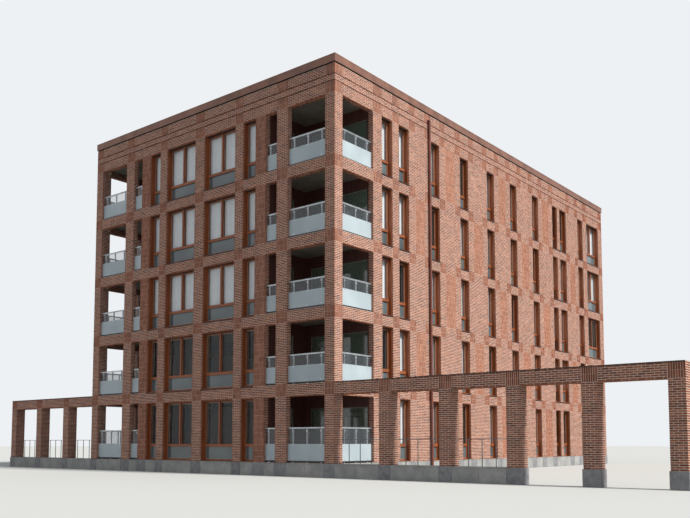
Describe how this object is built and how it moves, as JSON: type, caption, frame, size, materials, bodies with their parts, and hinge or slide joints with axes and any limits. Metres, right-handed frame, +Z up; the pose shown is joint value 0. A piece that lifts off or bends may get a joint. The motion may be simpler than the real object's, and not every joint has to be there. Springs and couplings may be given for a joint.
{
  "type": "apartment block with corner loggias and a brick colonnade",
  "caption": "Brick apartment block of several storeys with open corner loggias, tall wood-framed windows, a granite plinth and a brick colonnade along the street.",
  "frame": {"origin": "centre of the block's own rectangular footprint, on the ground", "axes": "+X along the front towards the longer colonnade, -Y out of the front, +Z up"},
  "size_m": [35.021, 26.338, 16.0003],
  "materials": {
    "brick": "fired clay brick with pale mortar",
    "granite": "flamed grey granite",
    "concrete": "smooth cast concrete",
    "roofing_felt": "mineral felt",
    "cladding": "dark red-brown boards",
    "copper_sheet": "brown folded sheet metal",
    "oiled_wood": "oiled hardwood",
    "window_glass": "clear double glazing",
    "dark_glass": "dark enamelled glass",
    "frosted_glass": "frosted laminated glass",
    "clear_glass": "clear laminated glass",
    "aluminium": "satin anodised",
    "painted_steel": "dark grey paint",
    "painted_pipe": "dark brown paint"
  },
  "bodies": {
    "root": {"granite_plinth": "granite", "ground_slab": "concrete", "floor_slabs": "concrete", "roof_slab": "concrete", "roof_covering": "roofing_felt", "front_wall": "brick", "right_side_wall": "brick", "left_side_wall": "brick", "back_wall": "brick", "right_loggia_piers": "brick", "right_loggia_bands": "brick", "left_loggia_piers": "brick", "left_loggia_bands": "brick", "loggia_back_walls": "cladding", "loggia_side_walls": "cladding", "front_fascia": "copper_sheet", "back_fascia": "copper_sheet", "side_fascias": "copper_sheet", "front_window_frames": "oiled_wood", "front_window_glass": "window_glass", "front_window_panels": "dark_glass", "right_window_frames": "oiled_wood", "right_window_glass": "window_glass", "right_window_panels": "dark_glass", "left_window_frames": "oiled_wood", "left_window_glass": "window_glass", "left_window_panels": "dark_glass", "back_window_frames": "oiled_wood", "back_window_glass": "window_glass", "back_window_panels": "dark_glass", "loggia_door_frames": "oiled_wood", "loggia_door_glass": "window_glass", "balustrade_rails": "aluminium", "balustrade_posts": "aluminium", "balustrade_frosted_glass": "frosted_glass", "balustrade_clear_glass": "clear_glass", "colonnade_piers": "brick", "right_colonnade_beam": "brick", "left_colonnade_beam": "brick", "right_colonnade_granite": "granite", "left_colonnade_granite": "granite", "colonnade_railings": "painted_steel", "downpipes": "painted_pipe"}
  },
  "joints": []
}
